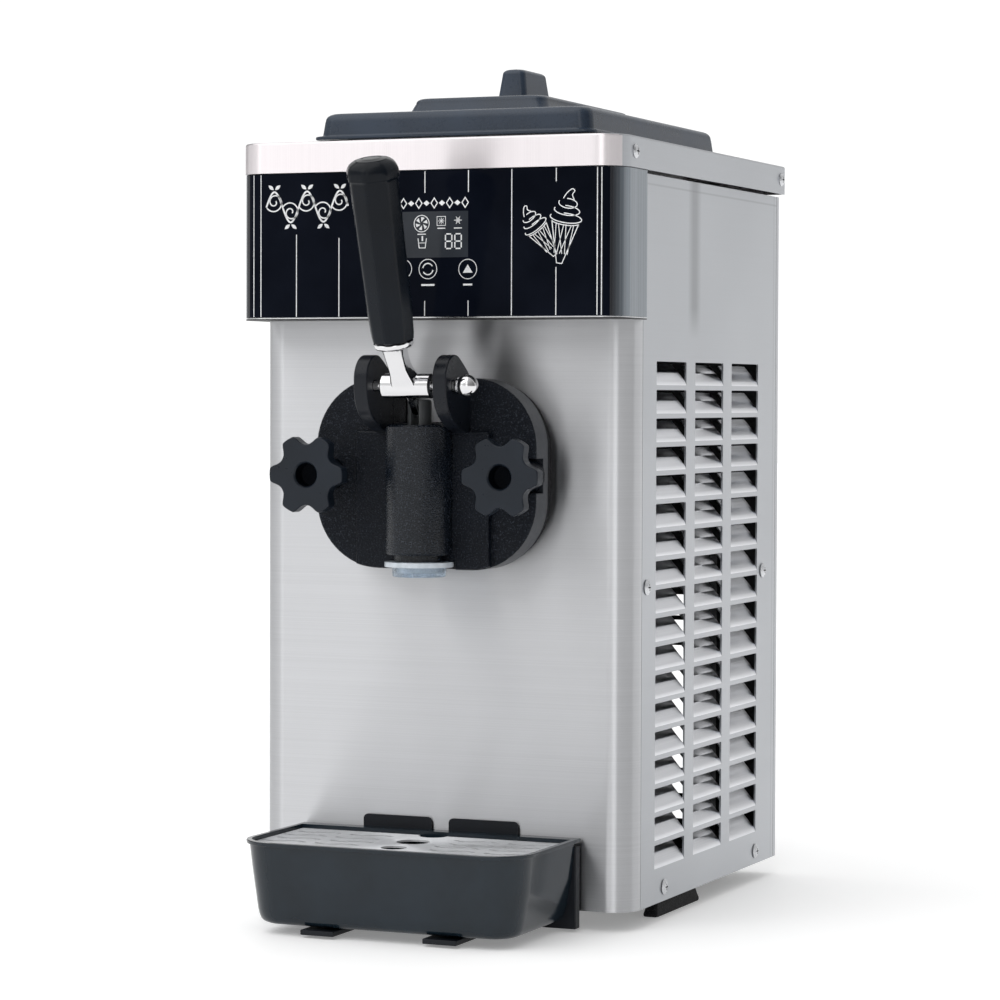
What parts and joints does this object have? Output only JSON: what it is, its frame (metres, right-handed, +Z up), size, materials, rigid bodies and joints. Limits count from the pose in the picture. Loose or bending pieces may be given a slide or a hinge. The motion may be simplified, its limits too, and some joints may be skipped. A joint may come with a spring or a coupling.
{
  "type": "countertop soft-serve ice cream maker",
  "caption": "Countertop soft-serve ice cream maker with a draw handle, a door held by star knobs, a lift-off hopper lid and a slide-out drip tray.",
  "frame": {"origin": "bottom centre of the bounding box, on the table", "axes": "+Z up, the door, handle and drip tray face -Y, +X is the viewer's right when facing the front"},
  "size_m": [0.2558, 0.4075, 0.5345],
  "materials": {
    "steel": "brushed",
    "galvanised": "satin",
    "chrome": "polished",
    "black_plastic": "fine texture",
    "slate_plastic": "satin",
    "tray_plastic": "gloss",
    "glossy_film": "gloss",
    "board": "matte",
    "pale_plastic": "satin",
    "foam": "matte",
    "rubber": "matte",
    "cast_case": "cast",
    "motor_paint": "satin",
    "fins": "satin",
    "red_plastic": "gloss"
  },
  "bodies": {
    "cabinet": {"base_pan": "galvanised", "inner_frame": "galvanised", "front_panel": "steel", "side_panel_left": "steel", "side_panel_right": "steel", "rear_panel": "steel", "top_cover": "steel", "head_shell": "steel", "control_film": "glossy_film", "display_module": "glossy_film", "control_board": "board", "hopper": "steel", "freezing_cylinder": "steel", "insulation_jacket": "foam", "shaft_seal": "rubber", "gearbox": "cast_case", "drive_belt": "rubber", "drive_motor": "motor_paint", "compressor": "motor_paint", "condenser": "fins", "fan_shroud": "galvanised", "fan_motor": "cast_case", "freezer_door": "black_plastic", "door_gasket": "rubber", "stud_left": "chrome", "stud_right": "chrome", "tray_bracket": "black_plastic", "foot_front_left": "rubber", "foot_front_right": "rubber", "foot_rear_left": "rubber", "foot_rear_right": "rubber", "cord_gland": "black_plastic", "switch_housing": "black_plastic", "side_screw_left_1": "chrome", "side_screw_left_2": "chrome", "side_screw_left_3": "chrome", "side_screw_left_4": "chrome", "side_screw_right_1": "chrome", "side_screw_right_2": "chrome", "side_screw_right_3": "chrome", "side_screw_right_4": "chrome"},
    "lid": {"hopper_lid": "slate_plastic"},
    "feed_tube": {"air_tube": "pale_plastic"},
    "beater_set": {"beater": "pale_plastic", "drive_shaft": "chrome"},
    "upper_pulley": {"gearbox_pulley": "cast_case"},
    "lower_pulley": {"motor_pulley": "cast_case"},
    "fan": {"fan_blade": "black_plastic"},
    "knob_left": {"star_knob_left": "slate_plastic"},
    "knob_right": {"star_knob_right": "slate_plastic"},
    "piston": {"valve_piston": "pale_plastic", "piston_seal_upper": "rubber", "piston_seal_lower": "rubber"},
    "pin": {"pivot_pin": "chrome"},
    "handle": {"draw_lever": "chrome", "handle_grip": "black_plastic"},
    "spout": {"nozzle": "pale_plastic"},
    "tray": {"drip_tray": "tray_plastic"},
    "grate": {"tray_grate": "steel"},
    "rocker": {"power_switch": "red_plastic"}
  },
  "joints": [
    {"name": "lid_lift", "type": "slide", "parent": "cabinet", "child": "lid", "axis": [0, 0, 1], "range_m": [0, 0.12]},
    {"name": "feed_tube_lift", "type": "slide", "parent": "cabinet", "child": "feed_tube", "axis": [0, 0, 1], "range_m": [0, 0.02]},
    {"name": "handle_pull", "type": "hinge", "parent": "cabinet", "child": "handle", "pos_m": [0, -0.1381, 0.33], "axis": [1, 0, 0], "range_deg": [0, 50]},
    {"name": "piston_lift", "type": "slide", "parent": "cabinet", "child": "piston", "axis": [0, 0, 1], "range_m": [0, 0.0192]},
    {"name": "pin_pull", "type": "slide", "parent": "cabinet", "child": "pin", "axis": [1, 0, 0], "range_m": [0, 0.085]},
    {"name": "knob_left_turn", "type": "hinge", "parent": "cabinet", "child": "knob_left", "pos_m": [-0.0637, -0.1361, 0.276], "axis": [0, 1, 0], "continuous": true},
    {"name": "knob_right_turn", "type": "hinge", "parent": "cabinet", "child": "knob_right", "pos_m": [0.0637, -0.1361, 0.276], "axis": [0, 1, 0], "continuous": true},
    {"name": "nozzle_pull", "type": "slide", "parent": "cabinet", "child": "spout", "axis": [0, 0, -1], "range_m": [0, 0.03]},
    {"name": "tray_slide", "type": "slide", "parent": "cabinet", "child": "tray", "axis": [0, -1, 0], "range_m": [0, 0.09]},
    {"name": "grate_lift", "type": "slide", "parent": "tray", "child": "grate", "axis": [0, 0, 1], "range_m": [0, 0.05]},
    {"name": "drive_turn", "type": "hinge", "parent": "cabinet", "child": "upper_pulley", "pos_m": [0, 0.1759, 0.276], "axis": [0, 1, 0], "continuous": true},
    {"name": "motor_turn", "type": "hinge", "parent": "cabinet", "child": "lower_pulley", "pos_m": [-0.06, 0.1759, 0.192], "axis": [0, 1, 0], "continuous": true},
    {"name": "beater_turn", "type": "hinge", "parent": "cabinet", "child": "beater_set", "pos_m": [0, 0.0139, 0.276], "axis": [0, 1, 0], "continuous": true},
    {"name": "fan_spin", "type": "hinge", "parent": "cabinet", "child": "fan", "pos_m": [-0.053, 0.1329, 0.088], "axis": [0, 1, 0], "continuous": true},
    {"name": "switch_rock", "type": "hinge", "parent": "cabinet", "child": "rocker", "pos_m": [-0.085, 0.1909, 0.225], "axis": [0, 0, 1], "range_deg": [-14.4, 0]}
  ],
  "couplings": [
    {"joint": "piston_lift", "follows": "handle_pull", "m_per_rad": 0.0217},
    {"joint": "motor_turn", "follows": "drive_turn", "ratio": 2.1429},
    {"joint": "beater_turn", "follows": "drive_turn", "ratio": 0.08333}
  ]
}
